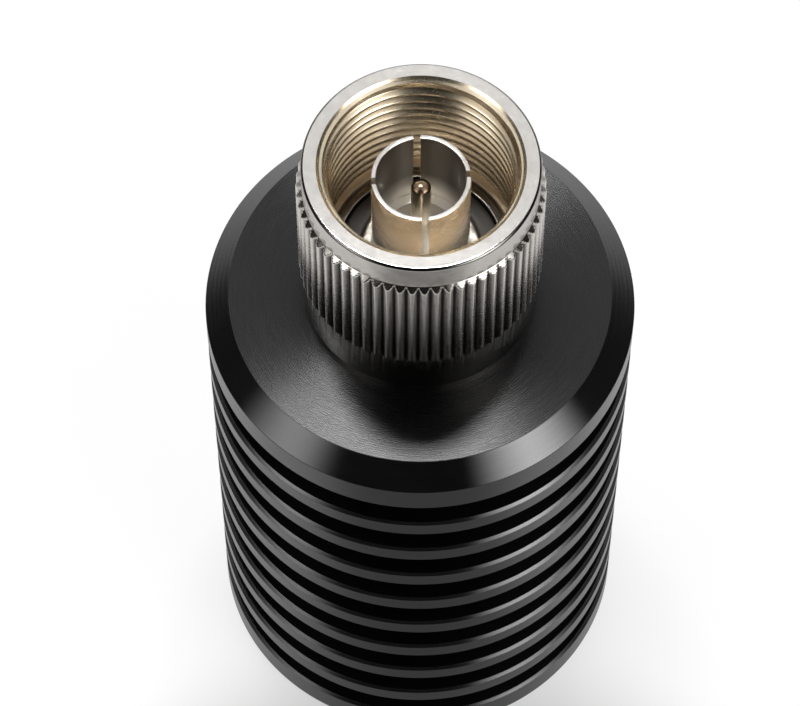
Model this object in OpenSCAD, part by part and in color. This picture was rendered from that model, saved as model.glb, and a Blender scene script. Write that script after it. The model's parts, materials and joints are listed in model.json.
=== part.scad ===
// RF dummy load: a finned round heat sink that carries a male coaxial plug on its front face.
// A load resistor sits on a half-round copper carrier in a blind bore behind the plug.
// Millimetres, +Z along the axis towards the plug, origin at the centre of the rear face.

/* [Heat sink] */
// Outer diameter of the fins
sink_d = 36; // [32:0.5:60]
// Diameter of the solid core at the bottom of the grooves
core_d = 24; // [22:0.5:28]
// Number of free fins between the rear plate and the front band
fin_count = 8; // [6:1:14]
// Thickness of one fin
fin_t = 2.05; // [1.2:0.05:4]
// Width of one groove
groove_w = 2.9; // [1.5:0.1:5]
// Thickness of the rear plate
rear_plate_t = 3.1; // [2:0.1:8]
// Length of the full-diameter band behind the front chamfer
front_band_t = 3; // [2:0.1:8]
// Length of the front chamfer along the axis
front_chamfer_h = 1.8; // [0.5:0.1:3]
// Width of the front chamfer across the face
front_chamfer_w = 2; // [0.5:0.1:3.5]
// Edge break on the rims of the fins
edge_break = 0.25; // [0.1:0.05:0.5]

/* [Coupling nut] */
// Gap between the front face of the heat sink and the nut
nut_gap = 1.2; // [0.8:0.1:3]
// Length of the nut
nut_len = 19.1; // [17:0.1:26]
// Diameter of the plain front ring
rim_d = 19.15; // [18.6:0.05:22]
// Length of the plain front ring
rim_len = 2.65; // [1:0.05:4]
// Chamfer on the outer edges of the nut
nut_chamfer = 0.2; // [0.1:0.05:0.4]
// Height of the knurl crests above the front ring
knurl_rise = 0.475; // [0.3:0.025:0.8]
// Depth of the knurl grooves
knurl_depth = 0.42; // [0.2:0.02:0.6]
// Width of the knurl grooves at the crests
knurl_groove_w = 0.8; // [0.3:0.05:0.9]
// Length of the knurl
knurl_len = 11.5; // [6:0.1:13]
// Number of knurl ridges
knurl_count = 63; // [36:1:68]
// Run-out of the knurl grooves past both ends of the knurl
knurl_runout = 0.25; // [0.1:0.05:0.5]
// Step down from the knurl crests to the plain rear band
skirt_drop = 0.27; // [0.1:0.01:0.5]
// Minor diameter of the 5/8-24 coupling thread
thread_minor_d = 14.9; // [14.4:0.05:15.2]
// Length of the coupling thread from the front of the nut
thread_len = 11; // [8:0.1:12]
// Diameter of the mouth chamfer
mouth_d = 16.4; // [15.8:0.1:17.4]
// Diameter of the undercut behind the thread
relief_d = 16.3; // [15.8:0.1:17]
// Length of the undercut behind the thread
relief_len = 1.5; // [1:0.1:2.5]

/* [Plug body] */
// Diameter of the stub that screws into the heat sink
stub_d = 18; // [17.4:0.1:19]
// Length of the stub
stub_len = 4.2; // [3:0.1:6]
// Overhang of the seating flange past the stub
flange_lip = 0.4; // [0.2:0.1:1.5]
// Width of the lip round the gasket
gasket_lip_w = 0.7; // [0.5:0.05:1.2]
// Height of the outer contact's seat above the front face
contact_seat_h = 1.5; // [0.5:0.1:2.5]
// Thickness of the mating gasket
gasket_t = 1.6; // [1:0.1:2.4]
// Depth of the gasket below the front lip
gasket_setback = 0.2; // [0.1:0.05:0.5]

/* [Snap ring] */
// Height of the snap ring above the rear of the nut
snap_h = 2.6; // [1.6:0.1:3.4]
// Thickness of the snap ring along the axis
snap_t = 0.8; // [0.5:0.05:1.1]
// Radial width of the snap ring
snap_w = 1; // [0.8:0.05:1.2]
// Depth of the ring's groove in the plug body
snap_groove = 0.4; // [0.3:0.05:0.6]
// Opening angle of the snap ring
snap_gap_angle = 24; // [10:1:60]

/* [Contacts] */
// Outer diameter of the slotted outer contact
contact_d = 8; // [7.8:0.02:8.4]
// Bore of the slotted outer contact
contact_bore_d = 7.2; // [6.8:0.05:7.4]
// Depth of that bore
contact_bore_len = 8.5; // [8.1:0.1:9.5]
// Distance of the outer contact behind the front of the nut
contact_recess = 1.9; // [1:0.1:3]
// Diameter of the collar at the root of the outer contact
contact_collar_d = 9.7; // [9:0.1:10.4]
// Number of slots in the outer contact
slot_count = 4; // [2:1:6]
// Width of one slot
slot_w = 0.6; // [0.3:0.05:0.9]
// Length of one slot
slot_len = 8; // [4:0.1:8]
// Turn of the slots about the axis
slot_turn = 5; // [0:1:45]
// Bore of the coaxial line behind the outer contact
line_bore_d = 5.5; // [4.6:0.1:6]
// Distance of the insulator behind the shoulder in the outer contact
insulator_recess = 3; // [1:0.1:4]
// Diameter of the insulator's retaining collar
insulator_collar_d = 6.8; // [6.4:0.1:7.6]
// Thickness of the insulator's retaining collar
insulator_collar_t = 2; // [1.2:0.1:3]
// Diameter of the centre pin
pin_d = 1.6; // [1.2:0.02:1.7]
// Distance of the pin's cylinder behind the tip of the outer contact
pin_recess = 1.5; // [0.5:0.1:3]
// Height of the pin's domed tip
pin_tip_len = 0.45; // [0.3:0.05:0.6]
// Diameter of the pin's shank in the insulator
shank_d = 2; // [1.8:0.05:2.2]
// Diameter of the pin's retaining barb
barb_d = 2.5; // [2.3:0.05:3.2]
// Length of the pin's retaining barb
barb_len = 0.7; // [0.4:0.05:1]
// Length of the pin's half-round solder tail
tail_len = 2.4; // [1.5:0.1:3]

/* [Load resistor] */
// Diameter of the half-round carrier
carrier_d = 15.8; // [15:0.1:16.6]
// Length of the round collar of the carrier
carrier_collar_t = 3; // [2:0.1:5]
// Length of the flat of the carrier
carrier_flat_len = 25; // [16:0.5:27]
// Diameter of the carrier's spigot in the plug body
spigot_d = 10; // [8:0.1:13]
// Length of the carrier's spigot
spigot_len = 2.2; // [1:0.1:2.6]
// Distance of the resistor flange behind the carrier's collar
mount_setback = 2.3; // [1.9:0.1:6]
// Width of the resistor flange along the axis
mount_l = 6; // [5.4:0.1:9]
// Thickness of the resistor flange
mount_t = 1.6; // [1:0.1:2]
// Size of the square ceramic chip
chip_w = 5; // [4.6:0.1:5.4]
// Thickness of the ceramic chip
chip_t = 1; // [0.6:0.1:1.5]
// Length of the ceramic lid on the chip
lid_len = 2.6; // [1.5:0.1:2.8]
// Thickness of the ceramic lid
lid_t = 0.8; // [0.4:0.1:1.2]
// Width of the terminal tab
tab_w = 1.5; // [0.8:0.1:2.5]
// Thickness of the terminal tab
tab_t = 0.2; // [0.1:0.05:0.4]
// Overlap of the tab on the chip
tab_overlap = 1.6; // [1:0.1:1.9]
// Diameter of a mounting screw
screw_d = 2; // [1.6:0.1:2.1]
// Depth of a mounting screw in the carrier
screw_depth = 1.6; // [1.2:0.1:2.3]
// Diameter of a screw head
head_d = 3.5; // [3:0.1:3.8]
// Height of a screw head
head_h = 1.2; // [1:0.1:1.6]
// Overhang of a washer past the screw head
washer_lip = 0.15; // [0.05:0.05:0.3]
// Thickness of a washer
washer_t = 0.3; // [0.2:0.05:0.5]
// Gap between the chip and a washer
washer_gap = 0.2; // [0.1:0.05:0.5]

/* [Clearances] */
// Radial clearance of the nut on the plug body
nut_clear = 0.15; // [0.1:0.01:0.2]
// Clearance round the snap ring in the nut
snap_clear = 0.2; // [0.1:0.01:0.3]
// Clearance between the nut and the seating flange
flange_clear = 0.3; // [0.2:0.05:0.5]
// Clearance of the thread of the stub in the heat sink
stub_clear = 0.05; // [0.02:0.01:0.1]
// Radial clearance of the carrier in its bore
carrier_clear = 0.1; // [0.05:0.01:0.2]
// Clearance at the closed ends of blind bores
end_clear = 0.3; // [0.2:0.05:0.6]
// Radial clearance of the gasket in its seat
gasket_clear = 0.05; // [0.02:0.01:0.1]
// Radial clearance of the insulator in the bore of the line
bead_clear = 0.03; // [0.02:0.01:0.1]
// Radial clearance of the screws
screw_clear = 0.05; // [0.02:0.01:0.1]

/* [Hidden] */

$fn = 96;

// Overlap of a cut past the face that it opens
cut = 1;

sink_r = sink_d / 2;
core_r = core_d / 2;
fin_pitch = fin_t + groove_w;
sink_len = rear_plate_t + fin_count * fin_pitch + groove_w + front_band_t + front_chamfer_h;
face_z = sink_len;

nut_z = face_z + nut_gap;
nut_top = nut_z + nut_len;
rim_r = rim_d / 2;
knurl_r = rim_r + knurl_rise;
skirt_r = knurl_r - skirt_drop;
knurl_top = nut_top - rim_len - knurl_rise;
knurl_z = knurl_top - knurl_len;
thread_r = thread_minor_d / 2;
thread_end = nut_top - thread_len;
relief_end = thread_end - relief_len;

body_r = thread_r - nut_clear;
body_front = relief_end - end_clear;
flange_r = stub_d / 2 + flange_lip;
flange_top = nut_z - flange_clear;
stub_end = face_z - stub_len;
gasket_r = body_r - gasket_lip_w;
gasket_top = body_front - gasket_setback;
gasket_floor = gasket_top - gasket_t;
contact_seat = face_z + contact_seat_h;

snap_z = nut_z + snap_h;
snap_in_r = body_r - snap_groove;
snap_out_r = snap_in_r + snap_w;

contact_r = contact_d / 2;
contact_tip = nut_top - contact_recess;
contact_shoulder = contact_tip - contact_bore_len;
collar_r = contact_collar_d / 2;
line_r = line_bore_d / 2;
insulator_front = contact_shoulder - insulator_recess;
insulator_collar_r = insulator_collar_d / 2;
pin_r = pin_d / 2;
shank_r = shank_d / 2;
barb_r = barb_d / 2;
pin_shoulder = contact_tip - pin_recess;
barb_z = contact_seat + (insulator_collar_t - barb_len) / 2;

carrier_r = carrier_d / 2;
chamber_r = carrier_r + carrier_clear;
carrier_front = stub_end;
carrier_step = carrier_front - carrier_collar_t;
carrier_end = carrier_step - carrier_flat_len;
flat_y = -(tab_t + chip_t + mount_t);
mount_top_y = flat_y + mount_t;
chip_top_y = mount_top_y + chip_t;
mount_front = carrier_step - mount_setback;
mount_mid = mount_front - mount_l / 2;
chip_front = mount_mid + chip_w / 2;
chip_end = chip_front - chip_w;
tab_front = carrier_step - end_clear;
tab_end = chip_front - tab_overlap;
washer_d = head_d + 2 * washer_lip;
washer_top_y = mount_top_y + washer_t;
screw_len = washer_t + mount_t + screw_depth;
screw_pitch = chip_w + washer_d + 2 * washer_gap;
mount_w = screw_pitch + washer_d;

module turned(profile) {
    rotate_extrude()
        polygon(profile);
}

// Block between two corners
module block(low, high) {
    translate(low)
        cube(high - low);
}

// One fin: its flanks start at the core and its rim has an edge break on both sides
function fin_points(low, high) = [
    [core_r, low], [sink_r - edge_break, low], [sink_r, low + edge_break],
    [sink_r, high - edge_break], [sink_r - edge_break, high], [core_r, high]
];

function fin_z(i) = rear_plate_t + groove_w + i * fin_pitch;

function sink_outline() = concat(
    [[0, 0], [sink_r - edge_break, 0], [sink_r, edge_break]],
    [[sink_r, rear_plate_t - edge_break], [sink_r - edge_break, rear_plate_t], [core_r, rear_plate_t]],
    [for (i = [0 : fin_count - 1]) each fin_points(fin_z(i), fin_z(i) + fin_t)],
    [[core_r, fin_z(fin_count)], [sink_r - edge_break, fin_z(fin_count)]],
    [[sink_r, fin_z(fin_count) + edge_break], [sink_r, face_z - front_chamfer_h]],
    [[sink_r - front_chamfer_w, face_z], [0, face_z]]
);

module heat_sink() {
    stub_bore_r = stub_d / 2 + stub_clear;
    chamber_mouth = stub_end - end_clear;
    chamber_end = carrier_end - end_clear;
    color("#18181a")
        difference() {
            turned(sink_outline());
            turned([
                [0, chamber_end], [chamber_r, chamber_end], [chamber_r, chamber_mouth],
                [stub_bore_r, chamber_mouth], [stub_bore_r, face_z + cut], [0, face_z + cut]
            ]);
        }
}

module plug_body() {
    color("#b9b6ae")
        difference() {
            turned([
                [0, stub_end], [stub_d / 2, stub_end], [stub_d / 2, face_z], [flange_r, face_z],
                [flange_r, flange_top], [body_r, flange_top], [body_r, body_front], [0, body_front]
            ]);
            turned([
                [0, stub_end - cut], [spigot_d / 2, stub_end - cut], [spigot_d / 2, stub_end + spigot_len],
                [line_r, stub_end + spigot_len], [line_r, contact_seat], [collar_r, contact_seat],
                [collar_r, gasket_floor], [gasket_r, gasket_floor], [gasket_r, body_front + cut],
                [0, body_front + cut]
            ]);
            snap_groove_cut(snap_in_r, body_r + cut, 0);
        }
}

// Ring-shaped cut round the snap ring, wider than it by the given clearance on both sides
module snap_groove_cut(in_r, out_r, clear) {
    turned([
        [in_r, snap_z - clear], [out_r, snap_z - clear],
        [out_r, snap_z + snap_t + clear], [in_r, snap_z + snap_t + clear]
    ]);
}

// One V groove of the knurl, open past the crests and running out just past both ends
module knurl_groove() {
    root_r = knurl_r - knurl_depth;
    open_w = knurl_groove_w * (knurl_depth + cut) / knurl_depth;
    low = knurl_z - knurl_runout;
    high = nut_top - rim_len + knurl_runout;
    translate([0, 0, low])
        linear_extrude(high - low)
            polygon([[root_r, 0], [knurl_r + cut, -open_w / 2], [knurl_r + cut, open_w / 2]]);
}

module coupling_nut() {
    mouth_r = mouth_d / 2;
    color("#c8c5bd")
        difference() {
            turned([
                [thread_r, nut_z], [skirt_r - nut_chamfer, nut_z], [skirt_r, nut_z + nut_chamfer],
                [skirt_r, knurl_z], [knurl_r, knurl_z + skirt_drop], [knurl_r, knurl_top],
                [rim_r, nut_top - rim_len], [rim_r, nut_top - nut_chamfer], [rim_r - nut_chamfer, nut_top],
                [mouth_r, nut_top], [thread_r, nut_top - mouth_r + thread_r], [thread_r, thread_end],
                [relief_d / 2, thread_end], [relief_d / 2, relief_end], [thread_r, relief_end]
            ]);
            for (i = [0 : knurl_count - 1])
                rotate([0, 0, i * 360 / knurl_count])
                    knurl_groove();
            snap_groove_cut(thread_r - cut, snap_out_r + snap_clear, snap_clear);
        }
}

module snap_ring() {
    color("#8f8a80")
        translate([0, 0, snap_z])
            rotate([0, 0, snap_gap_angle / 2])
                rotate_extrude(angle = 360 - snap_gap_angle)
                    translate([snap_in_r, 0])
                        square([snap_w, snap_t]);
}

module mating_gasket() {
    color("#141414")
        turned([
            [collar_r + gasket_clear, gasket_floor], [gasket_r - gasket_clear, gasket_floor],
            [gasket_r - gasket_clear, gasket_top], [collar_r + gasket_clear, gasket_top]
        ]);
}

module outer_contact() {
    bore_r = contact_bore_d / 2;
    collar_end = contact_seat + insulator_collar_t;
    slot_low = [0, -slot_w / 2, contact_tip - slot_len];
    slot_high = [contact_r + cut, slot_w / 2, contact_tip + cut];
    color("#b7a892")
        difference() {
            turned([
                [insulator_collar_r, contact_seat], [collar_r, contact_seat], [collar_r, body_front],
                [contact_r, body_front], [contact_r, contact_tip], [bore_r, contact_tip],
                [bore_r, contact_shoulder], [line_r, contact_shoulder], [line_r, collar_end],
                [insulator_collar_r, collar_end]
            ]);
            for (i = [0 : slot_count - 1])
                rotate([0, 0, slot_turn + i * 360 / slot_count])
                    block(slot_low, slot_high);
        }
}

module insulator() {
    bead_r = line_r - bead_clear;
    collar_end = contact_seat + insulator_collar_t;
    color("#e8e6e0")
        turned([
            [shank_r, carrier_step], [bead_r, carrier_step], [bead_r, contact_seat],
            [insulator_collar_r, contact_seat], [insulator_collar_r, collar_end], [bead_r, collar_end],
            [bead_r, insulator_front], [shank_r, insulator_front], [shank_r, barb_z + barb_len],
            [barb_r, barb_z + barb_len], [barb_r, barb_z], [shank_r, barb_z]
        ]);
}

module centre_pin() {
    tip_steps = 8;
    dome_r = (pin_r * pin_r + pin_tip_len * pin_tip_len) / (2 * pin_tip_len);
    dome_z = pin_shoulder + pin_tip_len - dome_r;
    tip = [
        for (i = [0 : tip_steps])
            let (a = asin(pin_r / dome_r) * (1 - i / tip_steps))
                [dome_r * sin(a), dome_z + dome_r * cos(a)]
    ];
    color("#c9a45c")
        union() {
            turned(concat(
                [[0, carrier_step], [shank_r, carrier_step], [shank_r, barb_z], [barb_r, barb_z]],
                [[barb_r, barb_z + barb_len], [shank_r, barb_z + barb_len]],
                [[shank_r, insulator_front], [pin_r, insulator_front]],
                tip
            ));
            intersection() {
                translate([0, 0, carrier_step - tail_len])
                    cylinder(r = shank_r, h = tail_len);
                block([-shank_d, 0, carrier_step - tail_len], [shank_d, shank_d, carrier_step]);
            }
        }
}

// Repeats its children at both mounting screws, with +Z of the child along +Y of the part
module at_screws(y) {
    for (side = [-1, 1])
        translate([side * screw_pitch / 2, y, mount_mid])
            rotate([-90, 0, 0])
                children();
}

module resistor_carrier() {
    spigot_r = spigot_d / 2;
    spigot_end = carrier_front + spigot_len;
    color("#b87333")
        difference() {
            turned([
                [0, carrier_end], [carrier_r, carrier_end], [carrier_r, carrier_front],
                [spigot_r, carrier_front], [spigot_r, spigot_end], [0, spigot_end]
            ]);
            block([-carrier_d, flat_y, carrier_end - cut], [carrier_d, carrier_d, carrier_step]);
            translate([0, 0, carrier_step - cut])
                cylinder(r = line_r, h = spigot_end - carrier_step + 2 * cut);
            at_screws(flat_y - screw_depth - end_clear)
                cylinder(d = screw_d + 2 * screw_clear, h = screw_depth + end_clear + cut);
        }
}

module resistor_flange() {
    color("#c7a35a")
        difference() {
            block([-mount_w / 2, flat_y, mount_front - mount_l], [mount_w / 2, mount_top_y, mount_front]);
            at_screws(flat_y - cut)
                cylinder(d = screw_d + 2 * screw_clear, h = mount_t + 2 * cut);
        }
}

module resistor_chip() {
    color("#dedcd4")
        block([-chip_w / 2, mount_top_y, chip_end], [chip_w / 2, chip_top_y, chip_front]);
}

module resistor_lid() {
    color("#f0efe9")
        block([-chip_w / 2, chip_top_y, chip_end], [chip_w / 2, chip_top_y + lid_t, chip_end + lid_len]);
}

module resistor_tab() {
    color("#d0d0d0")
        block([-tab_w / 2, chip_top_y, tab_end], [tab_w / 2, chip_top_y + tab_t, tab_front]);
}

module mounting_screws() {
    socket_d = head_d - screw_d;
    socket_depth = head_h - 2 * washer_t;
    color("#9a9a98")
        at_screws(washer_top_y)
            difference() {
                union() {
                    translate([0, 0, -screw_len])
                        cylinder(d = screw_d, h = screw_len);
                    cylinder(d = head_d, h = head_h);
                }
                translate([0, 0, head_h - socket_depth])
                    cylinder(d = socket_d, h = socket_depth + cut, $fn = 6);
            }
}

module mounting_washers() {
    color("#b4b4b0")
        at_screws(mount_top_y)
            difference() {
                cylinder(d = washer_d, h = washer_t);
                translate([0, 0, -cut])
                    cylinder(d = screw_d + 2 * screw_clear, h = washer_t + 2 * cut);
            }
}

heat_sink();
plug_body();
coupling_nut();
snap_ring();
mating_gasket();
outer_contact();
insulator();
centre_pin();
resistor_carrier();
resistor_flange();
resistor_chip();
resistor_lid();
resistor_tab();
mounting_screws();
mounting_washers();
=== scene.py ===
"""Looks of the RF dummy load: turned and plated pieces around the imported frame, lights and camera.

Lengths are millimetres until a mesh is made, and lamps are placed in metres. Heights count from the heat
sink's rear face.
"""

import json
import math

import bmesh
import bpy
import numpy as np
from mathutils import Matrix, Vector

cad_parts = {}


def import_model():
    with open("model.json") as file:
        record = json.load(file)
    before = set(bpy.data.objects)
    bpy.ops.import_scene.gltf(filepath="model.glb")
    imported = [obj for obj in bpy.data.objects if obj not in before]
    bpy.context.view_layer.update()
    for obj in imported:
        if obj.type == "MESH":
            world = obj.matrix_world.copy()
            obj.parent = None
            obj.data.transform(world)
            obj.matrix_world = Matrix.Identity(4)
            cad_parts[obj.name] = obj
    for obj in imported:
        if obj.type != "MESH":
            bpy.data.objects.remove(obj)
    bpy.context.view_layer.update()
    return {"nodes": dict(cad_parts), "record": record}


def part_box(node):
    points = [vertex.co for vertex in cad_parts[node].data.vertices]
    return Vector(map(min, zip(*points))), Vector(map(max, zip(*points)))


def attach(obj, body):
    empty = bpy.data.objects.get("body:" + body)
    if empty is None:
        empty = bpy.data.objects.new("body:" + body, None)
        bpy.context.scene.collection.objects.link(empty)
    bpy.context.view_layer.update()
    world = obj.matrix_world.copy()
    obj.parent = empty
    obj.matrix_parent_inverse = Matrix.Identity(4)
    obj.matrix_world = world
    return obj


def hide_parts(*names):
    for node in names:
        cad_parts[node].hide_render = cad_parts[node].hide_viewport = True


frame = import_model()

MM = 0.001

# Feed of the lathe tool per turn
FEED = 0.2


# Sizes from the frame


def span(node):
    """Lowest and highest point of a CAD node along the axis, and its largest radius."""
    low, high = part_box(node)
    return low.z / MM, high.z / MM, high.x / MM


SINK_Z, FACE_Z, SINK_R = span("heat_sink")
NUT_Z, NUT_TOP, KNURL_R = span("coupling_nut")
CONTACT_Z, CONTACT_TIP, COLLAR_R = span("outer_contact")
GASKET_Z, GASKET_TOP, GASKET_R = span("mating_gasket")
STUB_END, BODY_FRONT, FLANGE_R = span("plug_body")
PIN_END, PIN_TIP, BARB_R = span("centre_pin")
INSULATOR_FRONT, INSULATOR_COLLAR_R = span("insulator")[1:]
CARRIER_END = span("resistor_carrier")[0]

# Sizes that the frame doesn't give

# Clearances
END_CLEAR = 0.3
FLANGE_CLEAR = 0.3
GASKET_CLEAR = 0.05

# Heat sink
CORE_R = 12.0
FIN_COUNT = 8
FIN_T = 2.05
GROOVE_W = 2.9
REAR_PLATE_T = 3.1
FRONT_CHAMFER_H = 1.8
FRONT_CHAMFER_W = 2.0
EDGE_BREAK = 0.25
STUB_BORE_R = 9.05
CHAMBER_R = 8.0
CHAMBER_STEP = STUB_END - END_CLEAR
CHAMBER_END = CARRIER_END - END_CLEAR

# Coupling nut
RIM_R = 9.575
RIM_LEN = 2.65
NUT_CHAMFER = 0.2
KNURL_LEN = 11.5
KNURL_COUNT = 63
KNURL_DEPTH = 0.42
KNURL_RUNOUT = 0.25
SKIRT_DROP = 0.27
SKIRT_R = KNURL_R - SKIRT_DROP
KNURL_TOP = NUT_TOP - RIM_LEN - (KNURL_R - RIM_R)
KNURL_Z = KNURL_TOP - KNURL_LEN
THREAD_MINOR_R = 7.45
THREAD_MAJOR_R = 7.94
INCH = 25.4
THREADS_PER_INCH = 24
THREAD_PITCH = INCH / THREADS_PER_INCH
THREAD_START = 0.155
THREAD_LEN = 11.0
THREAD_END = NUT_TOP - THREAD_LEN
RELIEF_R = 8.15
RELIEF_LEN = 1.5
RELIEF_END = THREAD_END - RELIEF_LEN
SNAP_HEIGHT = 2.6
SNAP_Z = NUT_Z + SNAP_HEIGHT
SNAP_T = 0.8
SNAP_CLEAR = 0.2
SNAP_GROOVE_R = 8.1

# Mouth of the nut as the photograph shows it: a chamfer at 45 degrees, a flatter one below MOUTH_STEP and
# the lead-in cone of the thread
MOUTH_R = 8.36
MOUTH_STEP = 0.22
LEAD_R = 8.05
LEAD_SLOPE = 0.44

# Plug body and contacts
BODY_R = 7.3
BODY_GROOVE_DEPTH = 0.4
STUB_R = 9.0
FLANGE_TOP = NUT_Z - FLANGE_CLEAR
GASKET_SEAT_R = 6.6
CONTACT_R = 4.0
CONTACT_BORE_R = 3.6
CONTACT_BORE_LEN = 8.5
CONTACT_SHOULDER = CONTACT_TIP - CONTACT_BORE_LEN
INSULATOR_COLLAR_T = 2.0
LINE_R = 2.75
SPIGOT_R = 5.0
SPIGOT_LEN = 2.2
SPIGOT_TOP = STUB_END + SPIGOT_LEN
SLOT_COUNT = 4
SLOT_W = 0.6
SLOT_LEN = 8.0
SLOT_TURN = math.radians(5)
PIN_R = 0.8
SHANK_R = 1.0
PIN_TIP_LEN = 0.45
PIN_TAIL_LEN = 2.4
BARB_LEN = 0.7


# Mesh helpers

# Reach of the points beside a rounding, in lengths of its tangent
SUPPORT = 1.5
# Edges with a larger angle than this stay sharp
SHARP_DEG = 30
# Points nearer than this, in metres, become one
MERGE_DISTANCE = 1e-7
# Length by which a cut goes past the end of a piece
CUT_PAST = 1.0


def fillet(outline, steps=4):
    """Closed outline of (r, z, radius) corners as points, with each corner rounded to its radius.

    A point a little way before and after each rounding keeps the shading of the flats beside it flat.
    """
    points = []
    count = len(outline)
    for i, (r, z, radius) in enumerate(outline):
        here = Vector((r, z))
        back = Vector(outline[i - 1][:2]) - here
        ahead = Vector(outline[(i + 1) % count][:2]) - here
        if radius <= 0:
            points.append(here)
            continue
        half = back.angle(ahead) / 2
        reach = radius / math.tan(half)
        start = here + back.normalized() * reach
        end = here + ahead.normalized() * reach
        centre = here + (back.normalized() + ahead.normalized()).normalized() * (radius / math.sin(half))
        first = start - centre
        turn = first.angle_signed(end - centre)
        points.append(here + back.normalized() * reach * SUPPORT)
        for step in range(steps + 1):
            points.append(centre + Matrix.Rotation(-turn * step / steps, 2) @ first)
        points.append(here + ahead.normalized() * reach * SUPPORT)
    return [(p.x, p.y) for p in points]


def mesh_object(name, verts, faces, sharp_deg=SHARP_DEG):
    """Object made of points in millimetres, smooth except along edges sharper than the given angle."""
    mesh = bpy.data.meshes.new(name)
    mesh.from_pydata([(x * MM, y * MM, z * MM) for x, y, z in verts], [], faces)
    mesh.validate()
    tidy = bmesh.new()
    tidy.from_mesh(mesh)
    bmesh.ops.remove_doubles(tidy, verts=tidy.verts, dist=MERGE_DISTANCE)
    bmesh.ops.recalc_face_normals(tidy, faces=tidy.faces)
    tidy.to_mesh(mesh)
    tidy.free()
    mesh.shade_smooth()
    mesh.set_sharp_from_angle(angle=math.radians(sharp_deg))
    obj = bpy.data.objects.new(name, mesh)
    bpy.context.scene.collection.objects.link(obj)
    return obj


def ring_surface(rings):
    """Points and faces of a loop of rings, joined one to the next and the last to the first.

    A ring may have twice as many points as its neighbour.
    """
    starts = np.cumsum([0] + [len(ring) for ring in rings])
    verts = [p for ring in rings for p in ring]
    faces = []
    for i in range(len(rings)):
        fine, coarse = sorted((i, (i + 1) % len(rings)), key=lambda k: -len(rings[k]))
        count = len(rings[fine])
        step = count // len(rings[coarse])
        for j in range(0, count, step):
            edge = [int(starts[fine]) + (j + part) % count for part in range(step + 1)]
            ends = [int(starts[coarse]) + part % count // step for part in (j + step, j)]
            faces.append(edge + ends)
    return verts, faces


def lathe(name, points, segments=192):
    """Solid of revolution of a closed outline of (r, z) points; points on the axis become poles."""
    angles = [2 * math.pi * i / segments for i in range(segments)]
    rings = [[(r * math.cos(a), r * math.sin(a), z) for a in angles] for r, z in points]
    verts, faces = ring_surface(rings)
    return mesh_object(name, verts, faces)


def cut_blocks(obj, blocks):
    """Cuts boxes, given by size, centre and turn about the axis, out of a piece."""
    cutter_mesh = bpy.data.meshes.new("cutter")
    tool = bmesh.new()
    for size, centre, turn in blocks:
        place = Matrix.Rotation(turn, 4, "Z") @ Matrix.Translation(Vector(centre) * MM)
        bmesh.ops.create_cube(tool, size=1, matrix=place @ Matrix.Diagonal((*(Vector(size) * MM), 1)))
    tool.to_mesh(cutter_mesh)
    tool.free()
    cutter = bpy.data.objects.new("cutter", cutter_mesh)
    bpy.context.scene.collection.objects.link(cutter)
    cut = obj.modifiers.new("cut", "BOOLEAN")
    cut.operation = "DIFFERENCE"
    cut.solver = "EXACT"
    cut.object = cutter
    shaped = bpy.data.meshes.new_from_object(obj.evaluated_get(bpy.context.evaluated_depsgraph_get()))
    obj.modifiers.clear()
    obj.data = shaped
    bpy.data.objects.remove(cutter)
    shaped.shade_smooth()
    shaped.set_sharp_from_angle(angle=math.radians(SHARP_DEG))


# Pieces


def heat_sink():
    """Finned heat sink: one turned outline with the blind bore in its front."""
    soft = 0.05
    chamfer_soft = 0.08
    root = 0.3
    rim = SINK_R - EDGE_BREAK
    outline = [(0, SINK_Z, 0), (rim, SINK_Z, soft), (SINK_R, SINK_Z + EDGE_BREAK, soft)]
    for i in range(FIN_COUNT + 1):
        low = REAR_PLATE_T + i * (GROOVE_W + FIN_T)
        high = low + GROOVE_W
        outline += [(SINK_R, low - EDGE_BREAK, soft), (rim, low, soft), (CORE_R, low, root)]
        outline += [(CORE_R, high, root), (rim, high, soft), (SINK_R, high + EDGE_BREAK, soft)]
    outline += [(SINK_R, FACE_Z - FRONT_CHAMFER_H, chamfer_soft)]
    outline += [(SINK_R - FRONT_CHAMFER_W, FACE_Z, chamfer_soft)]
    outline += [(STUB_BORE_R, FACE_Z, soft), (STUB_BORE_R, CHAMBER_STEP, 0), (CHAMBER_R, CHAMBER_STEP, 0)]
    outline += [(CHAMBER_R, CHAMBER_END, 0), (0, CHAMBER_END, 0)]
    return lathe("heat_sink_turned", fillet(outline, 3), segments=256)


def knurl_angles():
    """Angles of the nut's grid, from the root of one groove to the next."""
    steps_per_ridge = 8
    count = steps_per_ridge * KNURL_COUNT
    return [2 * math.pi * i / count for i in range(count)]


def knurl_limit(angle):
    """Radius of the knurl at an angle: rounded ridges that meet in sharp grooves."""
    return KNURL_R - KNURL_DEPTH + KNURL_DEPTH * abs(math.sin(angle * KNURL_COUNT / 2))


def thread_radius(angle, z):
    """Radius of the right-hand internal thread: crest and root, rounded into straight flanks."""
    crest = 0.26
    root = 0.16
    soft = 0.2
    flank = (THREAD_PITCH - crest - root) / 2
    along = (z - THREAD_START - THREAD_PITCH * angle / (2 * math.pi)) % THREAD_PITCH
    rise = (abs(along - THREAD_PITCH / 2) - root / 2) / flank
    rounded = (math.hypot(rise, soft) - math.hypot(rise - 1, soft) + 1) / 2
    return THREAD_MAJOR_R + (THREAD_MINOR_R - THREAD_MAJOR_R) * rounded


def soft_max(a, b, soft=0.025):
    """Larger of two lengths, with the corner between them rounded."""
    return (a + b + math.hypot(a - b, soft)) / 2


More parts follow.
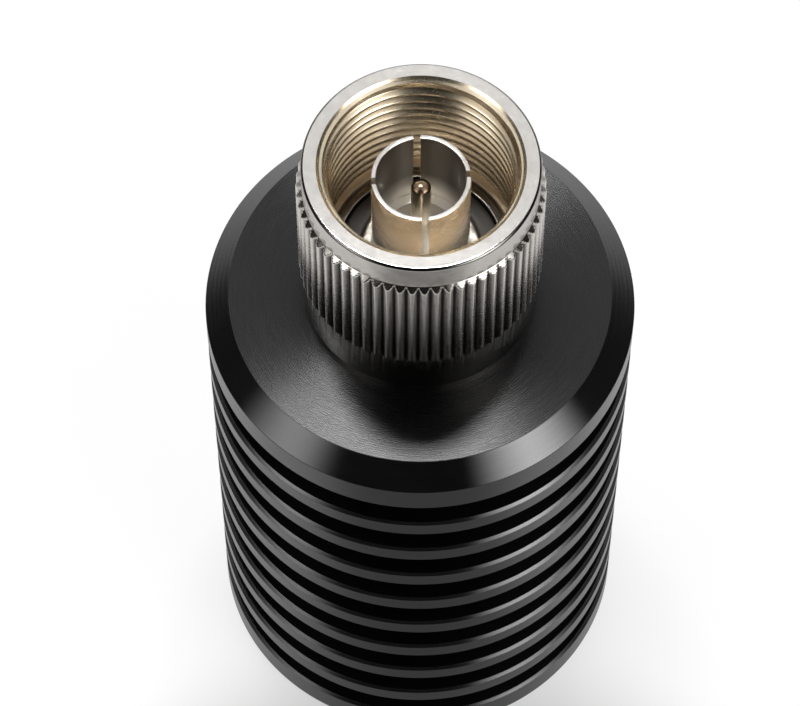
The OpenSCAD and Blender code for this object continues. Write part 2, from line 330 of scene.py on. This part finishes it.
def coupling_nut():
    """Coupling nut with its straight knurl outside and its helical thread inside."""
    outside = knurl_angles()
    inside = outside[::2]
    rings = []

    def ring(z, radius, angles):
        rings.append([(radius(a) * math.cos(a), radius(a) * math.sin(a), z) for a in angles])

    def plain(points, angles=outside):
        for r, z in points:
            ring(z, lambda a, r=r: r, angles)

    def knurled(points):
        for r, z in points:
            ring(z, lambda a, r=r: min(r, knurl_limit(a)), outside)

    # Rounded chamfers, in shares of their size: in from the side, and back from the end
    skirt_edge = [(1, 0), (0.7, 0.1), (0.1, 0.7), (0, 1)]
    rim_edge = [(0, 1.3), (0, 1), (0.15, 0.75), (0.75, 0.15), (1, 0), (1.3, 0)]
    plain([(THREAD_MINOR_R, NUT_Z)], inside)
    plain([(SKIRT_R - a * NUT_CHAMFER, NUT_Z + b * NUT_CHAMFER) for a, b in skirt_edge])

    # Knurl between the cones at its ends
    below_cone = 0.01
    above_cone = 0.5
    below_shoulder = 0.1
    beside_corner = 0.03
    cone = np.linspace(0, 1, 5)
    shoulder = np.linspace(0, 1, 13)
    heights = np.linspace(KNURL_Z + above_cone, KNURL_TOP - below_shoulder, 8)
    plain([(SKIRT_R, KNURL_Z - 2 * KNURL_RUNOUT)])
    knurled([(SKIRT_R, KNURL_Z - below_cone)])
    knurled([(SKIRT_R + t * SKIRT_DROP, KNURL_Z + t * SKIRT_DROP) for t in cone])
    knurled([(KNURL_R, z) for z in heights])
    knurled([(KNURL_R + t * (RIM_R - KNURL_R), KNURL_TOP + t * (KNURL_R - RIM_R)) for t in shoulder])
    plain([(RIM_R, NUT_TOP - RIM_LEN + beside_corner)])
    plain([(RIM_R - a * NUT_CHAMFER, NUT_TOP - b * NUT_CHAMFER) for a, b in rim_edge])

    # Mouth and thread
    first_row = 0.06
    rows_per_pitch = 22
    plain([(MOUTH_R, NUT_TOP)], inside)
    rows = round((NUT_TOP - first_row - THREAD_END) / THREAD_PITCH * rows_per_pitch)
    for z in np.linspace(NUT_TOP - first_row, THREAD_END, rows):
        depth = NUT_TOP - z
        mouth_r = max(MOUTH_R - depth - max(0, depth - MOUTH_STEP), LEAD_R - LEAD_SLOPE * depth)
        ring(z, lambda a, z=z, mouth_r=mouth_r: soft_max(thread_radius(a, z), mouth_r), inside)

    # Relief behind the thread and groove of the snap ring
    edge = 0.06
    snap_low = SNAP_Z - SNAP_CLEAR
    snap_high = SNAP_Z + SNAP_T + SNAP_CLEAR
    plain([(RELIEF_R, THREAD_END - beside_corner), (RELIEF_R, RELIEF_END + beside_corner)], inside)
    plain([(THREAD_MINOR_R + edge, RELIEF_END), (THREAD_MINOR_R, RELIEF_END - edge)], inside)
    plain([(THREAD_MINOR_R, snap_high), (SNAP_GROOVE_R, snap_high)], inside)
    plain([(SNAP_GROOVE_R, snap_low), (THREAD_MINOR_R, snap_low)], inside)
    verts, faces = ring_surface(rings)
    return mesh_object("coupling_nut_knurled", verts, faces, sharp_deg=35)


def plug_body():
    """Plug body: seating flange and stub, snap-ring groove and the lip round the gasket."""
    edge = 0.08
    lip = 0.12
    groove_r = BODY_R - BODY_GROOVE_DEPTH
    outline = [
        (LINE_R, SPIGOT_TOP, 0), (SPIGOT_R, SPIGOT_TOP, 0), (SPIGOT_R, STUB_END, edge),
        (STUB_R, STUB_END, edge), (STUB_R, FACE_Z, 0), (FLANGE_R, FACE_Z, edge),
        (FLANGE_R, FLANGE_TOP, edge), (BODY_R, FLANGE_TOP, edge), (BODY_R, SNAP_Z, 0),
        (groove_r, SNAP_Z, 0), (groove_r, SNAP_Z + SNAP_T, 0), (BODY_R, SNAP_Z + SNAP_T, 0),
        (BODY_R, BODY_FRONT, lip), (GASKET_SEAT_R, BODY_FRONT, lip), (GASKET_SEAT_R, GASKET_Z, 0),
        (COLLAR_R, GASKET_Z, 0), (COLLAR_R, CONTACT_Z, 0), (LINE_R, CONTACT_Z, 0),
    ]
    return lathe("plug_body_turned", fillet(outline))


def outer_contact():
    """Slotted sleeve on its collar, with the shoulder of the coaxial line inside."""
    edge = 0.06
    collar_edge = 0.15
    root = 0.12
    tip_edge = 0.09
    corner = 0.05
    seat = CONTACT_Z + INSULATOR_COLLAR_T
    outline = [
        (INSULATOR_COLLAR_R, CONTACT_Z, 0), (COLLAR_R, CONTACT_Z, edge),
        (COLLAR_R, BODY_FRONT, collar_edge), (CONTACT_R, BODY_FRONT, root),
        (CONTACT_R, CONTACT_TIP, tip_edge), (CONTACT_BORE_R, CONTACT_TIP, tip_edge),
        (CONTACT_BORE_R, CONTACT_SHOULDER, corner), (LINE_R, CONTACT_SHOULDER, edge),
        (LINE_R, seat, 0), (INSULATOR_COLLAR_R, seat, 0),
    ]
    sleeve = lathe("outer_contact_slotted", fillet(outline, 5), segments=256)
    low = CONTACT_TIP - SLOT_LEN
    reach = 2 * CONTACT_R
    size = (reach, SLOT_W, SLOT_LEN + CUT_PAST)
    centre = (reach / 2, 0, low + size[2] / 2)
    turns = [SLOT_TURN + 2 * math.pi * i / SLOT_COUNT for i in range(SLOT_COUNT)]
    cut_blocks(sleeve, [(size, centre, turn) for turn in turns])
    return sleeve


def centre_pin():
    """Centre pin with a domed tip, a barb in the insulator and a half-round solder tail."""
    flat = 0.02
    soft = 0.03
    dome_r = (PIN_R ** 2 + PIN_TIP_LEN ** 2) / (2 * PIN_TIP_LEN)
    dome_z = PIN_TIP - dome_r
    edge = math.asin((PIN_R - soft) / dome_r)
    barb_z = CONTACT_Z + (INSULATOR_COLLAR_T - BARB_LEN) / 2
    barb_top = barb_z + BARB_LEN
    step = PIN_END + PIN_TAIL_LEN
    tip = np.linspace(edge, 0, 13)
    points = [(0, PIN_END), (SHANK_R, PIN_END), (SHANK_R, barb_z), (BARB_R, barb_z)]
    points += [(BARB_R, barb_top), (SHANK_R, barb_top), (SHANK_R, INSULATOR_FRONT)]
    points += [(PIN_R, INSULATOR_FRONT), (PIN_R, PIN_TIP - PIN_TIP_LEN - flat)]
    points += [(dome_r * math.sin(t), dome_z + dome_r * math.cos(t)) for t in tip]
    pin = lathe("centre_pin_turned", points, segments=96)
    size = (4 * SHANK_R, 2 * SHANK_R, PIN_TAIL_LEN + CUT_PAST)
    cut_blocks(pin, [(size, (0, -SHANK_R, step - size[2] / 2), 0)])
    return pin


def mating_gasket():
    """Rubber gasket with rounded edges."""
    rear_edge = 0.1
    front_edge = 0.3
    inner = COLLAR_R + GASKET_CLEAR
    outline = [
        (inner, GASKET_Z, rear_edge), (GASKET_R, GASKET_Z, rear_edge),
        (GASKET_R, GASKET_TOP, front_edge), (inner, GASKET_TOP, front_edge),
    ]
    return lathe("mating_gasket_moulded", fillet(outline, 5))


PIECES = [
    (heat_sink(), "load", "heat_sink", "black_anodised"),
    (coupling_nut(), "nut", "coupling_nut", "nickel"),
    (plug_body(), "load", "plug_body", "nickel"),
    (outer_contact(), "load", "outer_contact", "bronze"),
    (centre_pin(), "load", "centre_pin", "gold_plate"),
    (mating_gasket(), "load", "mating_gasket", "black_rubber"),
]


# Material helpers

# Range that holds most values of a noise, and how fast its finer layers fade
NOISE_LOW = 0.3
NOISE_HIGH = 0.7
NOISE_ROUGHNESS = 0.55
# Lathe marks: how far they change the roughness, and how strongly they tilt the surface
MARKS_GLOSS = 0.03
MARKS_STRENGTH = 0.12


class Shader:
    """A material's node tree with short calls for the nodes that it needs."""

    def __init__(self, name):
        self.material = bpy.data.materials.new(name)
        self.material.use_nodes = True
        self.tree = self.material.node_tree
        self.bsdf = self.tree.nodes["Principled BSDF"]

    def node(self, kind, inputs=None, **settings):
        made = self.tree.nodes.new(kind)
        for key, value in settings.items():
            setattr(made, key, value)
        for key, value in (inputs or {}).items():
            self.put(made.inputs[key], value)
        return made

    def put(self, socket, value):
        if isinstance(value, bpy.types.NodeSocket):
            self.tree.links.new(value, socket)
        else:
            socket.default_value = value

    def set(self, **values):
        for key, value in values.items():
            self.put(self.bsdf.inputs[key.replace("_", " ")], value)

    def math(self, operation, a, b=0.0):
        return self.node("ShaderNodeMath", {0: a, 1: b}, operation=operation).outputs[0]

    def ramp(self, value, low, high, to_low=0.0, to_high=1.0, smooth=False):
        inputs = {"Value": value, "From Min": low, "From Max": high, "To Min": to_low, "To Max": to_high}
        shape = "SMOOTHSTEP" if smooth else "LINEAR"
        return self.node("ShaderNodeMapRange", inputs, interpolation_type=shape).outputs["Result"]

    def spread(self, noise, low, high):
        """A noise stretched to run from low to high."""
        return self.ramp(noise, NOISE_LOW, NOISE_HIGH, low, high)

    def mix(self, factor, a, b):
        made = self.node("ShaderNodeMix", data_type="RGBA")
        for key, value in (("Factor_Float", factor), ("A_Color", a), ("B_Color", b)):
            socket = next(s for s in made.inputs if s.identifier == key)
            self.put(socket, value)
        return next(s for s in made.outputs if s.identifier == "Result_Color")

    def place(self):
        """Object coordinates in millimetres."""
        coords = self.node("ShaderNodeTexCoord").outputs["Object"]
        return self.node("ShaderNodeVectorMath", {0: coords, 3: 1 / MM}, operation="SCALE").outputs[0]

    def noise(self, vector, scale, detail=3.0):
        inputs = {"Vector": vector, "Scale": scale, "Detail": detail, "Roughness": NOISE_ROUGHNESS}
        return self.node("ShaderNodeTexNoise", inputs).outputs["Fac"]

    def length(self, a, b):
        square = self.math("ADD", self.math("MULTIPLY", a, a), self.math("MULTIPLY", b, b))
        return self.math("SQRT", square)

    def cylindrical(self):
        """Place in millimetres as its three coordinates and the radius."""
        least = 0.01
        split = self.node("ShaderNodeSeparateXYZ", {0: self.place()}).outputs
        return split, self.math("MAXIMUM", self.length(split[0], split[1]), least)

    def turned(self, around=3.0):
        """Coordinates that run fast across a turned surface and slowly round it, and the one across alone.

        If height and radius counted the same, a chamfer at 45 degrees would show no marks.
        """
        height_share = 1.7
        split, radius = self.cylindrical()
        across = self.math("ADD", radius, self.math("MULTIPLY", split[2], height_share))
        x = self.math("MULTIPLY", self.math("DIVIDE", split[0], radius), around)
        y = self.math("MULTIPLY", self.math("DIVIDE", split[1], radius), around)
        return self.node("ShaderNodeCombineXYZ", {0: x, 1: y, 2: across}).outputs[0], across

    def lathe_marks(self):
        """Noise in fine streaks round the axis."""
        vector, _ = self.turned()
        return self.noise(vector, scale=9.0)

    def bump(self, layers):
        """Chain of bump layers of (height, strength, distance in millimetres)."""
        normal = None
        for height, strength, distance in layers:
            inputs = {"Height": height, "Strength": strength, "Distance": distance * MM}
            if normal is not None:
                inputs["Normal"] = normal
            normal = self.node("ShaderNodeBump", inputs).outputs["Normal"]
        self.set(Normal=normal)

    def grain_round_axis(self, amount):
        """Spreads highlights across a grain that runs round the axis."""
        quarter_turn = 0.25
        tangent = self.node("ShaderNodeTangent", direction_type="RADIAL", axis="Z").outputs[0]
        self.set(Anisotropic=amount, Anisotropic_Rotation=quarter_turn, Tangent=tangent)


def black_anodised(name, roughness, ior, rings, grain=0.9):
    """Black anodising over lathe marks.

    Their fine grooves spread a highlight across them, and their gloss varies by the amount of rings.
    """
    dark = (0.0012, 0.0012, 0.0013, 1)
    light = (0.0025, 0.0025, 0.0027, 1)
    streaks_share = 0.4
    shader = Shader(name)
    vector, across = shader.turned(around=1.2)
    feed = shader.math("SINE", shader.math("MULTIPLY", across, 2 * math.pi / FEED))
    streaks = shader.noise(vector, scale=5.0)
    cloud = shader.noise(shader.place(), scale=0.25, detail=4.0)
    tone = shader.ramp(shader.math("ADD", shader.math("MULTIPLY", streaks, streaks_share), cloud), 0.4, 1.0)
    gloss = shader.math("ADD", shader.spread(streaks, -1.0, 1.0), feed)
    shader.set(Base_Color=shader.mix(tone, dark, light), IOR=ior)
    shader.set(Roughness=shader.math("ADD", shader.math("MULTIPLY", gloss, rings), roughness))
    shader.grain_round_axis(grain)
    shader.bump([(feed, 1.0, 0.0005), (streaks, 0.3, 0.006)])
    return shader.material


def plated(name, dark, light, roughness, wear, grain=0.7, marks_depth=0.012, pits_depth=0.0):
    """Bright plate on a turned piece: fine lathe marks, an uneven tone and, where given, fine pits."""
    shader = Shader(name)
    marks = shader.lathe_marks()
    cloud = shader.noise(shader.place(), scale=0.9, detail=4.0)
    rough = shader.math("ADD", shader.spread(cloud, -wear, wear), roughness)
    shader.set(Base_Color=shader.mix(shader.ramp(cloud, 0.35, 0.65), dark, light), Metallic=1.0)
    shader.set(Roughness=shader.math("ADD", rough, shader.spread(marks, -MARKS_GLOSS, MARKS_GLOSS)))
    shader.grain_round_axis(grain)
    layers = [(marks, MARKS_STRENGTH, marks_depth)]
    if pits_depth:
        layers.append((shader.noise(shader.place(), scale=7.0, detail=2.0), 1.0, pits_depth))
    shader.bump(layers)
    return shader.material


def knurled_plate(name, crest, root, roughness):
    """Plate on the knurl: grained by the tool, with painted shade that darkens the grooves."""
    groove_r = KNURL_R - 0.36
    ridge_r = KNURL_R - 0.1
    grain_gloss = 0.06
    shader = Shader(name)
    _, radius = shader.cylindrical()
    grain = shader.noise(shader.place(), scale=6.0)
    cloud = shader.noise(shader.place(), scale=0.9, detail=4.0)
    # Painted shade: dark root colour in the grooves, crest colour on the ridges, with a random tone on top.
    groove_shade_and_tone = shader.math("ADD", shader.ramp(radius, groove_r, ridge_r), shader.spread(cloud, -0.1, 0.1))
    shader.set(Base_Color=shader.mix(groove_shade_and_tone, root, crest), Metallic=1.0)
    shader.set(Roughness=shader.spread(grain, roughness - grain_gloss, roughness + grain_gloss))
    shader.bump([(grain, 1.0, 0.008)])
    return shader.material


def thin_plate(shader, colour, roughness, marks_depth):
    """Plate of a given colour on an inner wall, with faint lathe marks."""
    marks = shader.lathe_marks()
    shader.set(Base_Color=colour, Metallic=1.0)
    shader.set(Roughness=shader.spread(marks, roughness - MARKS_GLOSS, roughness + MARKS_GLOSS))
    shader.grain_round_axis(amount=0.3)
    shader.bump([(marks, MARKS_STRENGTH, marks_depth)])
    return shader.material


def threaded(name, crest, root, depth_shade_colour, roughness):
    """Thin plate on the thread with painted light and shade: warm and light on the crests as a painted
    reflection, brown in the roots and darker with depth as painted shade.
    """
    root_start, root_full = 0.08, 0.42
    mouth_end, roots_from = 0.3, 0.4
    deep_from, depth_shade_share = 2.5, 0.25
    shader = Shader(name)
    split, radius = shader.cylindrical()
    cloud = shader.noise(shader.place(), scale=1.2, detail=4.0)
    depth = shader.math("SUBTRACT", NUT_TOP, split[2])
    lead_r = shader.math("SUBTRACT", LEAD_R, shader.math("MULTIPLY", depth, LEAD_SLOPE))
    crest_r = shader.math("MAXIMUM", lead_r, THREAD_MINOR_R)
    below_crest = shader.ramp(shader.math("SUBTRACT", radius, crest_r), root_start, root_full)
    # Painted shade in the thread's roots, from just below the mouth.
    painted_root_shade = shader.math("MULTIPLY", below_crest, shader.ramp(depth, mouth_end, roots_from))
    # Painted shade that grows with depth into the nut.
    darker = shader.ramp(depth, deep_from, THREAD_LEN, 0.0, depth_shade_share)
    shade = shader.math("ADD", darker, shader.spread(cloud, -0.08, 0.08))
    colour = shader.mix(shade, shader.mix(painted_root_shade, crest, root), depth_shade_colour)
    return thin_plate(shader, colour, roughness, marks_depth=0.005)


def sleeve_bore(name, root, tip, roughness):
    """Plate in the sleeve, with painted light at the root and painted shade towards the tip, as in the
    photograph.
    """
    painted_light_end = CONTACT_SHOULDER + 0.6
    painted_shade_from = CONTACT_SHOULDER + 3.0
    shader = Shader(name)
    split, _ = shader.cylindrical()
    colour = shader.mix(shader.ramp(split[2], painted_light_end, painted_shade_from), root, tip)
    return thin_plate(shader, colour, roughness, marks_depth=0.004)


def black_rubber(name, dark, light):
    """Moulded rubber with a fine grain."""
    shader = Shader(name)
    grain = shader.noise(shader.place(), scale=12.0, detail=4.0)
    shader.set(Base_Color=shader.mix(grain, dark, light))
    shader.set(Roughness=shader.spread(grain, 0.5, 0.7))
    shader.bump([(grain, 0.3, 0.03)])
    return shader.material


def matt(name, dark, light, roughness):
    """Plastic or ceramic with a faint grain."""
    grain_gloss = 0.06
    shader = Shader(name)
    grain = shader.noise(shader.place(), scale=6.0, detail=5.0)
    shader.set(Base_Color=shader.mix(grain, dark, light))
    shader.set(Roughness=shader.spread(grain, roughness - grain_gloss, roughness + grain_gloss))
    shader.bump([(grain, 0.15, 0.02)])
    return shader.material


MATERIALS = {
    "black_anodised": black_anodised("black_anodised", roughness=0.22, ior=1.4, rings=0.01),
    "nickel": plated(
        "nickel", (0.39, 0.37, 0.34, 1), (0.46, 0.44, 0.41, 1),
        roughness=0.17, wear=0.03, grain=0.2, marks_depth=0.004, pits_depth=0.003,
    ),
    "bronze": plated(
        "bronze", (0.90, 0.82, 0.71, 1), (0.96, 0.89, 0.78, 1),
        roughness=0.24, wear=0.03, grain=0.5, marks_depth=0.004,
    ),
    "gold_plate": plated(
        "gold_plate", (0.92, 0.84, 0.71, 1), (0.96, 0.90, 0.79, 1),
        roughness=0.3, wear=0.04, grain=0.2, marks_depth=0.004,
    ),
    "steel": plated("steel", (0.42, 0.41, 0.39, 1), (0.56, 0.55, 0.52, 1), roughness=0.3, wear=0.06),
    "copper": plated("copper", (0.62, 0.33, 0.20, 1), (0.76, 0.45, 0.30, 1), roughness=0.32, wear=0.06),
    "silver_plate": plated(
        "silver_plate", (0.78, 0.76, 0.72, 1), (0.88, 0.86, 0.83, 1), roughness=0.25, wear=0.05,
    ),
    "alumina": matt("alumina", (0.74, 0.73, 0.69, 1), (0.84, 0.83, 0.79, 1), roughness=0.55),
    "ptfe": matt("ptfe", (0.72, 0.71, 0.68, 1), (0.82, 0.81, 0.78, 1), roughness=0.45),
    "black_rubber": black_rubber("black_rubber", (0.026, 0.022, 0.018, 1), (0.050, 0.043, 0.036, 1)),
}

for piece, body, node_name, slot in PIECES:
    piece.data.materials.clear()
    piece.data.materials.append(MATERIALS[slot])
    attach(piece, body)
    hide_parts(node_name)

# Margins that tell on which surface a face lies
FLUSH = 0.01
SKIN = 0.03
NEAR = 0.06
BESIDE_ROOT = 0.1
WALL = 0.3

# Finishes, and painted light and shade, of single faces: node, material, and which faces, by the radius and
# height of a face's centre and by how far it looks up (1 level, 0 upright)
FINISHES_AND_PAINTED_LIGHT = [
    (
        "heat_sink",
        black_anodised("black_anodised_chamfer", roughness=0.14, ior=1.6, rings=0.005),
        lambda r, z, up: z > FACE_Z - FRONT_CHAMFER_H and up > 0.3,
    ),
    (
        "heat_sink",
        black_anodised("black_anodised_face", roughness=0.274, ior=1.52, rings=0.034, grain=0.95),
        lambda r, z, up: z > FACE_Z - SKIN,
    ),
    (
        "heat_sink",
        black_anodised("black_anodised_edge", roughness=0.2, ior=1.85, rings=0.005),
        lambda r, z, up: (
            r > SINK_R - EDGE_BREAK - NEAR
            and z < FACE_Z - FRONT_CHAMFER_H - EDGE_BREAK
            and 0.15 < up < 0.95
        ),
    ),
    (
        # Knurl with painted shade in its grooves.
        "coupling_nut",
        knurled_plate("nickel_knurl", (0.52, 0.495, 0.46, 1), (0.08, 0.075, 0.07, 1), roughness=0.17),
        lambda r, z, up: r > SKIRT_R - WALL and KNURL_Z - 2 * KNURL_RUNOUT < z < KNURL_TOP,
    ),
    (
        # Darker copy of the nickel on the skirt below the knurl: painted shade.
        "coupling_nut",
        plated(
            "nickel_skirt_painted_shade", (0.21, 0.20, 0.185, 1), (0.25, 0.24, 0.22, 1),
            roughness=0.18, wear=0.02, grain=0.2, marks_depth=0.004,
        ),
        lambda r, z, up: r > SKIRT_R - WALL and z < KNURL_Z - KNURL_RUNOUT,
    ),
    (
        # Lighter copy of the nickel on the nut's top face: painted light.
        "coupling_nut",
        plated(
            "nickel_rim_painted_light", (0.88, 0.85, 0.81, 1), (0.93, 0.90, 0.86, 1),
            roughness=0.13, wear=0.01, grain=0.3, marks_depth=0.012, pits_depth=0.0012,
        ),
        lambda r, z, up: z > NUT_TOP - FLUSH,
    ),
    (
        # Thread with painted light on its crests and painted shade in its roots and with depth.
        "coupling_nut",
        threaded(
            "nickel_thread", crest=(0.86, 0.74, 0.55, 1), root=(0.30, 0.21, 0.12, 1),
            depth_shade_colour=(0.20, 0.14, 0.08, 1), roughness=0.25,
        ),
        lambda r, z, up: r < MOUTH_R + NEAR and z < NUT_TOP - FLUSH,
    ),
    (
        # Dark copy of the nickel on the rim's outer chamfer: a painted dark reflection that outlines the
        # rim.
        "coupling_nut",
        plated(
            "nickel_edge_painted_dark_reflection", (0.11, 0.105, 0.10, 1), (0.14, 0.135, 0.125, 1),
            roughness=0.14, wear=0.02, grain=0.2, marks_depth=0.004,
        ),
        lambda r, z, up: r > RIM_R - NUT_CHAMFER and NUT_TOP - NUT_CHAMFER < z < NUT_TOP - FLUSH,
    ),
    (
        # Light, warm copy of the nickel in the bore below the thread: painted light, which the sleeve
        # mirrors.
        "coupling_nut",
        plated(
            "nickel_bore_painted_light", (0.92, 0.77, 0.57, 1), (0.97, 0.84, 0.65, 1),
            roughness=0.5, wear=0.04, grain=0.3,
        ),
        lambda r, z, up: r < MOUTH_R and z < THREAD_END,
    ),
    (
        # Inner wall of the sleeve: painted light at its root and painted shade towards its tip.
        "outer_contact",
        sleeve_bore("bronze_inside_painted_light_and_shade", (0.80, 0.75, 0.67, 1), (0.17, 0.15, 0.125, 1), roughness=0.3),
        lambda r, z, up: r < CONTACT_BORE_R + SKIN and z < CONTACT_TIP - NEAR,
    ),
    (
        "outer_contact",
        plated(
            "bronze_shoulder", (0.84, 0.81, 0.77, 1), (0.92, 0.89, 0.85, 1),
            roughness=0.33, wear=0.04, grain=0.0, marks_depth=0.004,
        ),
        lambda r, z, up: up > 0.8 and abs(z - CONTACT_SHOULDER) < NEAR,
    ),
    (
        # Darker copy of the bronze on the sleeve's front rim: painted shade.
        "outer_contact",
        plated(
            "bronze_rim_painted_shade", (0.58, 0.55, 0.52, 1), (0.65, 0.62, 0.59, 1),
            roughness=0.2, wear=0.02, grain=0.3, marks_depth=0.004,
        ),
        lambda r, z, up: up > 0.7 and z > CONTACT_TIP - SKIN,
    ),
    (
        "outer_contact",
        plated(
            "bronze_collar", (0.66, 0.63, 0.58, 1), (0.80, 0.77, 0.72, 1),
            roughness=0.2, wear=0.08, grain=0.3, marks_depth=0.05,
        ),
        lambda r, z, up: r > CONTACT_R + BESIDE_ROOT and z < BODY_FRONT + SKIN,
    ),
    (
        # Dark brown copy of the gold on the pin's dome: a painted dark reflection.
        "centre_pin",
        plated(
            "gold_tip_painted_dark_reflection", (0.20, 0.14, 0.09, 1), (0.26, 0.185, 0.12, 1),
            roughness=0.24, wear=0.04, grain=0.2, marks_depth=0.004,
        ),
        lambda r, z, up: z > PIN_TIP - PIN_TIP_LEN - SKIN and up > 0.1,
    ),
]

for node_name, material, fits in FINISHES_AND_PAINTED_LIGHT:
    mesh = next(piece.data for piece, _, name, _ in PIECES if name == node_name)
    mesh.materials.append(material)
    for polygon in mesh.polygons:
        centre = polygon.center / MM
        if fits(math.hypot(centre.x, centre.y), centre.z, polygon.normal.z):
            polygon.material_index = len(mesh.materials) - 1

for part in frame["record"]["subparts"]:
    mesh = frame["nodes"][part["node"]].data
    mesh.materials.clear()
    mesh.materials.append(MATERIALS[part["material_slot"]])


# Floor, lights and camera


def floor():
    """Pale floor with a painted shadow, a soft, darker oval in front of the part, which the fins mirror.

    Part of its look is a glow that only the picture and mirrors see, so it whitens them and lights nothing.
    """
    half = 3000
    shadow_y = -2.4 * SINK_R
    shadow_stretch_x, shadow_stretch_y = 1.45, 1.3
    shadow_core, shadow_edge = 0.7 * SINK_R, 1.62 * SINK_R
    glow_share = 0.75
    shader = Shader("floor")
    grain = shader.noise(shader.place(), scale=0.02)
    split, _ = shader.cylindrical()
    x = shader.math("DIVIDE", split[0], shadow_stretch_x)
    y = shader.math("DIVIDE", shader.math("SUBTRACT", split[1], shadow_y), shadow_stretch_y)
    # Painted shadow: full in an oval core in front of the part, fading out to its edge.
    painted_shadow = shader.ramp(shader.length(x, y), shadow_edge, shadow_core, smooth=True)
    pale = shader.mix(grain, (0.92, 0.92, 0.92, 1), (0.95, 0.95, 0.95, 1))
    colour = shader.mix(painted_shadow, pale, (0.36, 0.36, 0.36, 1))
    rays = shader.node("ShaderNodeLightPath").outputs
    seen = shader.math("MAXIMUM", rays["Is Camera Ray"], rays["Is Glossy Ray"])
    seen = shader.math("MAXIMUM", seen, rays["Is Transmission Ray"])
    shader.set(Base_Color=colour, Roughness=0.9)
    glow = shader.node("ShaderNodeEmission", {"Color": colour, "Strength": 1.0}).outputs[0]
    share = shader.math("MULTIPLY", seen, glow_share)
    blend = shader.node("ShaderNodeMixShader", {0: share, 1: shader.bsdf.outputs[0], 2: glow}).outputs[0]
    shader.put(shader.tree.nodes["Material Output"].inputs["Surface"], blend)
    corners = [(-half, -half, 0), (half, -half, 0), (half, half, 0), (-half, half, 0)]
    plane = mesh_object("floor", corners, [(0, 1, 2, 3)])
    plane.data.materials.append(shader.material)


TARGET = Vector((0, 0, FACE_Z * MM))


def fade_sideways(light):
    """Makes an area light fade from its middle to its left and right edges."""
    light.use_nodes = True
    tree = light.node_tree
    across = tree.nodes.new("ShaderNodeSeparateXYZ")
    tree.links.new(tree.nodes.new("ShaderNodeNewGeometry").outputs["Parametric"], across.inputs[0])
    previous = across.outputs[0]
    for operation, value in (("SUBTRACT", 0.5), ("ABSOLUTE", 0.0)):
        step = tree.nodes.new("ShaderNodeMath")
        step.operation = operation
        step.inputs[1].default_value = value
        tree.links.new(previous, step.inputs[0])
        previous = step.outputs[0]
    fade = tree.nodes.new("ShaderNodeMapRange")
    fade.interpolation_type = "SMOOTHSTEP"
    for key, value in (("From Min", 0.5), ("From Max", 0.0), ("To Min", 0.0), ("To Max", 1.0)):
        fade.inputs[key].default_value = value
    tree.links.new(previous, fade.inputs["Value"])
    tree.links.new(fade.outputs["Result"], tree.nodes["Emission"].inputs["Strength"])


def softbox(name, azimuth_deg, elevation_deg, distance, size, radiance, fades=False):
    """Area light aimed at the part from a distance and with a size in metres.

    Azimuth 0 is the camera's side, positive to the right. The radiance is what a mirror shows of the light.
    """
    azimuth = math.radians(azimuth_deg)
    elevation = math.radians(elevation_deg)
    direction = Vector((
        math.sin(azimuth) * math.cos(elevation),
        -math.cos(azimuth) * math.cos(elevation),
        math.sin(elevation),
    ))
    light = bpy.data.lights.new(name, "AREA")
    light.shape = "RECTANGLE"
    light.size, light.size_y = size
    light.energy = radiance * math.pi * size[0] * size[1]
    if fades:
        fade_sideways(light)
    lamp = bpy.data.objects.new(name, light)
    lamp.location = TARGET + direction * distance
    lamp.rotation_euler = direction.to_track_quat("Z", "Y").to_euler()
    bpy.context.scene.collection.objects.link(lamp)


def camera():
    """Camera fitted to the circles of the photograph, whose frame is 800 x 706 pixels."""
    focal_px = 4039.0
    image_w = 800.0
    elevation = math.radians(61.66)
    distance = 338.9
    right = -1.68
    up = -4.37
    back_axis = Vector((0, -math.cos(elevation), math.sin(elevation)))
    up_axis = Vector((0, math.sin(elevation), math.cos(elevation)))
    data = bpy.data.cameras.new("camera")
    data.sensor_width = 36.0
    data.lens = focal_px / image_w * data.sensor_width
    data.clip_start = 0.01
    obj = bpy.data.objects.new("camera", data)
    aim = Vector((0, 0, FACE_Z - FRONT_CHAMFER_H)) + Vector((1, 0, 0)) * right + up_axis * up
    obj.location = (aim + back_axis * distance) * MM
    obj.rotation_euler = back_axis.to_track_quat("Z", "Y").to_euler()
    bpy.context.scene.collection.objects.link(obj)
    bpy.context.scene.camera = obj


def world():
    """Faint white light from all round."""
    made = bpy.data.worlds.new("studio")
    made.use_nodes = True
    background = made.node_tree.nodes["Background"]
    background.inputs["Color"].default_value = (1, 1, 1, 1)
    background.inputs["Strength"].default_value = 0.02
    bpy.context.scene.world = made


floor()
# Name, azimuth and elevation in degrees, distance and size in metres, radiance
softbox("key", -177, 75.7, 0.65, (0.2, 0.063), 78.0)
softbox("upper", 180, 58, 0.8, (0.9, 0.35), 0.6)
softbox("back", 180, 27, 0.9, (1.2, 0.4), 1.2)
softbox("left_panel", -95, 44, 0.7, (1.3, 0.42), 0.7)
softbox("right_panel", 95, 44, 0.7, (1.3, 0.42), 0.7)
softbox("left_front", -62, 57, 0.7, (0.34, 0.3), 0.68)
softbox("right_front", 52, 57, 0.7, (0.36, 0.3), 0.85)
softbox("wing", -140, 70.5, 0.65, (0.16, 0.063), 26.0)
softbox("left_strip", -59, 25, 0.6, (0.5, 0.19), 3.6, fades=True)
softbox("right_strip", 49, 26, 0.6, (0.6, 0.19), 8.5, fades=True)
camera()
world()
bpy.context.scene.view_settings.view_transform = "Standard"
